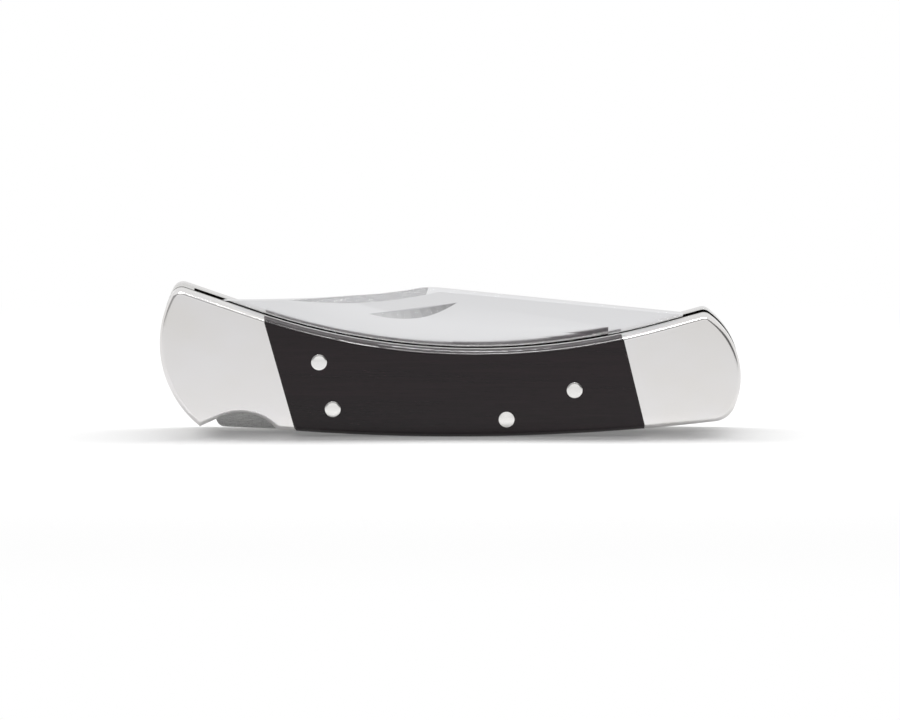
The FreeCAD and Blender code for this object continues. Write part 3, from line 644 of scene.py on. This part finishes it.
def pins_mesh(name, places, inputs):
    """The plain mesh that the pin tree gives for a list of places."""
    points = bpy.data.meshes.new(name + "_places")
    points.from_pydata(places, [], [])
    holder = bpy.data.objects.new(name + "_places", points)
    bpy.context.scene.collection.objects.link(holder)
    tree = bpy.data.node_groups.get("domed_pins") or pin_tree()
    modifier = holder.modifiers.new("pins", "NODES")
    modifier.node_group = tree
    keys = {item.name: item.identifier for item in tree.interface.items_tree if item.in_out == "INPUT"}
    for key, value in inputs.items():
        modifier[keys[key]] = value
    evaluated = holder.evaluated_get(bpy.context.evaluated_depsgraph_get())
    mesh = bpy.data.meshes.new_from_object(evaluated)
    mesh.name = name
    holder.modifiers.clear()
    bpy.data.objects.remove(holder)
    bpy.data.meshes.remove(points)
    work = joined_triangles(mesh)
    bmesh.ops.recalc_face_normals(work, faces=work.faces)
    work.to_mesh(mesh)
    work.free()
    mesh.set_sharp_from_angle(angle=PIN_SHARP_ANGLE)
    return mesh


# Stage

def seen_rays(tree):
    """Two masks: what the camera, a reflection or a clear body looks at, and what a reflection alone does."""
    path = add_node(tree, "ShaderNodeLightPath").outputs
    seen = math_node(tree, "MAXIMUM", path["Is Camera Ray"], path["Is Glossy Ray"])
    return math_node(tree, "MAXIMUM", seen, path["Is Transmission Ray"]), path["Is Glossy Ray"]


def distance_from_knife(tree, axes):
    """How far a point of the floor lies outside the knife's box."""
    beyond = {}
    for axis, low, high in zip("XY", *CAD_BOX):
        under = math_node(tree, "SUBTRACT", low, axes[axis])
        over = math_node(tree, "SUBTRACT", axes[axis], high)
        beyond[axis] = math_node(tree, "MAXIMUM", math_node(tree, "MAXIMUM", under, over), 0.0)
    corner = add_node(tree, "ShaderNodeCombineXYZ", beyond).outputs[0]
    return add_node(tree, "ShaderNodeVectorMath", {0: corner}, operation="LENGTH").outputs["Value"]


def white_floor(look):
    """Takes the shadow near the knife and shines evenly further out, a little less far in front."""
    material = bpy.data.materials.new("white_floor")
    material.use_nodes = True
    tree = material.node_tree
    tree.nodes.clear()
    seen, glossy = seen_rays(tree)
    axes = object_axes(tree)
    away = distance_from_knife(tree, axes)
    far_seen = product(tree, fade_in(tree, away, FLOOR_SEEN_FADE), seen)
    far_mirrored = product(tree, fade_in(tree, away, FLOOR_MIRRORED_FADE), glossy)
    far = math_node(tree, "MAXIMUM", far_seen, far_mirrored)
    forward = product(tree, axes["Y"], -1.0)
    falloff = remap(tree, forward, *FLOOR_FORWARD_FADE, 1.0, look.far_shine)
    shine = mix_value(tree, glossy, 1.0, falloff)
    plain = add_node(tree, "ShaderNodeBsdfDiffuse", {"Color": rgba(look.floor)}).outputs[0]
    lift = add_node(tree, "ShaderNodeEmission", {"Strength": product(tree, seen, look.lift)}).outputs[0]
    near_floor = add_node(tree, "ShaderNodeAddShader", {0: plain, 1: lift}).outputs[0]
    far_floor = add_node(tree, "ShaderNodeEmission", {"Strength": shine}).outputs[0]
    both = add_node(tree, "ShaderNodeMixShader", {0: far, 1: near_floor, 2: far_floor}).outputs[0]
    add_node(tree, "ShaderNodeOutputMaterial", {"Surface": both})
    return material


def make_floor(look):
    """The square floor that the knife stands on."""
    half = FLOOR_HALF_WIDTH
    mesh = bpy.data.meshes.new("studio_floor")
    corners = [(-half, -half, 0.0), (half, -half, 0.0), (half, half, 0.0), (-half, half, 0.0)]
    mesh.from_pydata(corners, [], [(0, 1, 2, 3)])
    mesh.materials.append(white_floor(look))
    floor = bpy.data.objects.new("studio_floor", mesh)
    bpy.context.scene.collection.objects.link(floor)


def make_world(scene, look):
    """A white room, with a dark gap and a lamp in front for what mirrors it, and a soft fill for the rest.

    The gap lies over a white card that stands straight ahead, and is deeper on the right than on the left.
    """
    world = bpy.data.worlds.new("studio_room")
    scene.world = world
    world.use_nodes = True
    tree = world.node_tree
    tree.nodes.clear()
    seen, glossy = seen_rays(tree)
    heading = add_node(tree, "ShaderNodeTexCoord").outputs["Generated"]
    axes = add_node(tree, "ShaderNodeSeparateXYZ", {0: heading}).outputs
    rise = math_node(tree, "DEGREES", math_node(tree, "ARCSINE", axes["Z"]))
    forward = product(tree, axes["Y"], -1.0)
    turn = math_node(tree, "DEGREES", math_node(tree, "ARCTAN2", axes["X"], forward))
    aside = math_node(tree, "ABSOLUTE", turn)

    gap_top = (look.gap_top - GAP_TOP_FADE, look.gap_top + GAP_TOP_FADE)
    card_top = (look.card_top - CARD_TOP_FADE, look.card_top + CARD_TOP_FADE)
    card = product(tree, fade_out(tree, aside, CARD_SIDES), fade_out(tree, rise, card_top))
    beside_card = math_node(tree, "SUBTRACT", 1.0, card)
    band = product(tree, fade_in(tree, rise, GAP_FOOT), fade_out(tree, rise, gap_top))
    gap = product(tree, band, fade_out(tree, aside, GAP_SIDES), beside_card, glossy)
    gap_tone = mix_colour(tree, fade_out(tree, turn, GAP_LEFT), grey(GAP_TONE), grey(GAP_LEFT_TONE))
    wall = remap(tree, axes["Y"], *BACK_WALL_FADE, 1.0, look.back_wall, smooth=True)
    lamp_band = product(tree, fade_in(tree, rise, LAMP_FOOT), fade_out(tree, rise, LAMP_TOP))
    lamp = product(tree, lamp_band, fade_out(tree, aside, LAMP_SIDES))
    mirrored = mix_colour(tree, lamp, mix_colour(tree, gap, wall, gap_tone), grey(look.lamp_shine))
    room = mix_colour(tree, glossy, grey(1.0), mirrored)

    sideways = math_node(tree, "ABSOLUTE", axes["X"])
    fill = remap(tree, sideways, *SIDE_FILL_FADE, look.fill, look.fill + look.side_fill)
    shown = mix_colour(tree, seen, fill, room)
    back = add_node(tree, "ShaderNodeBackground", {"Color": shown, "Strength": 1.0})
    add_node(tree, "ShaderNodeOutputWorld", {"Surface": back.outputs[0]})


def make_softbox(look):
    """The long lamp over the knife, which the metal doesn't mirror."""
    lamp = bpy.data.lights.new("overhead_softbox", "AREA")
    lamp.shape = "RECTANGLE"
    lamp.size = look.softbox_length
    lamp.size_y = look.softbox_depth
    lamp.energy = look.softbox_power
    box = bpy.data.objects.new("overhead_softbox", lamp)
    box.location = look.softbox_place
    box.visible_glossy = False
    bpy.context.scene.collection.objects.link(box)


def make_camera(scene, look):
    """The camera of the photo, a little over the horizon."""
    lens = bpy.data.cameras.new("photo_camera")
    lens.sensor_fit = "HORIZONTAL"
    lens.sensor_width = SENSOR_WIDTH_MM
    width = IMAGE_WIDTH_PX / look.scale_px_per_mm * MM
    lens.lens = SENSOR_WIDTH_MM * look.distance / width
    lens.clip_start = CLIP_NEAR
    lens.clip_end = CLIP_FAR
    camera = bpy.data.objects.new("photo_camera", lens)
    away = Vector((0.0, -math.cos(look.elevation), math.sin(look.elevation)))
    camera.location = Vector(look.aim) + away * look.distance
    camera.rotation_euler = (math.pi / 2 - look.elevation, 0.0, 0.0)
    scene.collection.objects.link(camera)
    scene.camera = camera


# Operators

class KNIFE_OT_bolsters(bpy.types.Operator):
    """Polish the bolsters and the pins that end flush in them"""

    bl_idname = "knife.bolsters"
    bl_label = "Bolsters"

    def execute(self, context):
        look = context.scene.knife_metal
        metal = polished_metal("polished_nickel_silver", look.bolster, look.bolster_roughness, BOLSTER_POLISH)
        set_material(metal, "front_butt_bolster", "back_butt_bolster", "front_pivot_bolster",
                     "back_pivot_bolster", "butt_bolster_pins", "pivot_pin")
        return {"FINISHED"}


class KNIFE_OT_liners(bpy.types.Operator):
    """Give the liners, with their painted slot shade, the butt spacer, the hidden pins and the bushing their
    metals
    """

    bl_idname = "knife.liners"
    bl_label = "Liners"

    def execute(self, context):
        look = context.scene.knife_metal
        slot = 2 * min(vert.co.y for vert in NODES["back_liner"].data.vertices)
        satin = liner_metal("satin_liner_metal", look.liner, look.liner_roughness, slot)
        spacer = polished_metal("satin_spacer_metal", look.liner, look.liner_roughness, LINER_POLISH)
        drawn = polished_metal("drawn_pin_metal", look.rivet, look.pin_roughness, PIN_POLISH)
        bronze = polished_metal("bearing_bronze", look.bronze, look.bronze_roughness, BRONZE_POLISH)
        set_material(satin, "front_liner", "back_liner")
        set_material(spacer, "butt_spacer")
        set_material(drawn, "front_bolster_pins", "back_bolster_pins")
        set_material(bronze, "pivot_bushing")
        return {"FINISHED"}


class KNIFE_OT_scales(bpy.types.Operator):
    """Give the scales their dark wood"""

    bl_idname = "knife.scales"
    bl_label = "Scales"

    def execute(self, context):
        face = max(vert.co.y for vert in NODES["back_scale"].data.vertices)
        wood = dark_wood("oiled_dark_wood", context.scene.knife_wood, face)
        set_material(wood, "front_scale", "back_scale")
        return {"FINISHED"}


class KNIFE_OT_blade(bpy.types.Operator):
    """Finish the blade: polished flats, hollow and spine, satin swedge and nick"""

    bl_idname = "knife.blade"
    bl_label = "Blade"

    def execute(self, context):
        look = context.scene.knife_metal
        mesh = merged_mesh("blade", "clip_blade", blade_steel("blade_steel", look), BLADE_SHARP_ANGLE)
        apex = max((vert.co for vert in mesh.vertices), key=lambda spot: spot.z)
        satin = mesh.attributes.new("satin", "FLOAT", "FACE")
        for face, value in zip(mesh.polygons, satin.data):
            lean = face.normal.z
            if SWEDGE_LEAN[0] < lean < SWEDGE_LEAN[1] and face.center.x < apex.x:
                value.value = 1.0
            elif NICK_LEAN[0] < lean < NICK_LEAN[1]:
                value.value = look.nick_satin
        new_piece("clip_blade", mesh, "blade", "blade_steel", "blade")
        return {"FINISHED"}


class KNIFE_OT_lock(bpy.types.Operator):
    """Give the lock bar and its leaf spring their ground steel"""

    bl_idname = "knife.lock"
    bl_label = "Lock"

    def execute(self, context):
        look = context.scene.knife_metal
        spring_tone = scaled(look.lock, SPRING_TONE_SHARE)
        bar = ground_metal("ground_lock_steel", look.lock, look.lock_roughness, LOCK_GRIND)
        spring = ground_metal("spring_steel", spring_tone, look.spring_roughness, SPRING_GRIND)
        set_material(bar, "lock_bar")
        set_material(spring, "lock_spring")
        return {"FINISHED"}


class KNIFE_OT_rivets(bpy.types.Operator):
    """Set the domed rivets in the wood, and the pin that the lock bar rocks on"""

    bl_idname = "knife.rivets"
    bl_label = "Rivets"

    def execute(self, context):
        look = context.scene.knife_metal
        size = context.scene.knife_rivets
        metal = polished_metal("polished_rivets", look.rivet, look.rivet_roughness, RIVET_POLISH)
        quarter = math.pi / 2
        for node, name, turn, both_heads in (
            ("front_scale_rivets", "front_rivets", quarter, False),
            ("back_scale_rivets", "back_rivets", -quarter, False),
            ("rocker_pin", "rocker_rivet", quarter, True),
        ):
            solids = solid_corners(node)
            extent = solids[0][1] - solids[0][0]
            far_dome = size.dome if both_heads else 0.0
            shift = Vector((0.0, math.copysign(size.dome - far_dome, turn) / 2, 0.0))
            inputs = {
                "Radius": extent.z / 2,
                "Length": extent.y - size.dome - far_dome,
                "Dome": size.dome,
                "Rim": 0.0 if both_heads else size.rim,
                "Far dome": far_dome,
                "Sides": size.sides,
                "Turn": (turn, 0.0, 0.0),
                "Material": metal,
            }
            mesh = pins_mesh(name, [(low + high) / 2 + shift for low, high in solids], inputs)
            new_piece(name, mesh, "handle", "pin_metal", node)
        return {"FINISHED"}


class KNIFE_OT_stage(bpy.types.Operator):
    """Set the white floor, the soft light and the camera"""

    bl_idname = "knife.stage"
    bl_label = "Stage"

    def execute(self, context):
        scene = context.scene
        look = scene.knife_stage
        scene.view_settings.view_transform = "Standard"
        make_floor(look)
        make_world(scene, look)
        make_softbox(look)
        make_camera(scene, look)
        return {"FINISHED"}


STEPS = (
    KNIFE_OT_bolsters, KNIFE_OT_liners, KNIFE_OT_scales, KNIFE_OT_blade,
    KNIFE_OT_lock, KNIFE_OT_rivets, KNIFE_OT_stage,
)
GROUPS = {
    "knife_wood": KnifeWood,
    "knife_metal": KnifeMetal,
    "knife_rivets": KnifeRivets,
    "knife_stage": KnifeStage,
}


class KNIFE_PT_panel(bpy.types.Panel):
    """The steps that dress the knife, in order, and their values"""

    bl_idname = "KNIFE_PT_panel"
    bl_label = "Folding knife"
    bl_space_type = "VIEW_3D"
    bl_region_type = "UI"
    bl_category = "Knife"

    def draw(self, context):
        for step in STEPS:
            self.layout.operator(step.bl_idname)
        for name in GROUPS:
            box = self.layout.box()
            values = getattr(context.scene, name)
            for key in values.__annotations__:
                box.prop(values, key)


def register():
    for kind in (*GROUPS.values(), *STEPS, KNIFE_PT_panel):
        bpy.utils.register_class(kind)
    for name, kind in GROUPS.items():
        setattr(bpy.types.Scene, name, bpy.props.PointerProperty(type=kind))


def unregister():
    for name in GROUPS:
        delattr(bpy.types.Scene, name)
    for kind in (KNIFE_PT_panel, *reversed(STEPS), *GROUPS.values()):
        bpy.utils.unregister_class(kind)


def main():
    """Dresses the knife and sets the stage."""
    register()
    make_polish_marks()
    make_ground_steel()
    make_wood_grain()
    bpy.ops.knife.bolsters()
    bpy.ops.knife.liners()
    bpy.ops.knife.scales()
    bpy.ops.knife.blade()
    bpy.ops.knife.lock()
    bpy.ops.knife.rivets()
    bpy.ops.knife.stage()


if __name__ == "__main__":
    main()
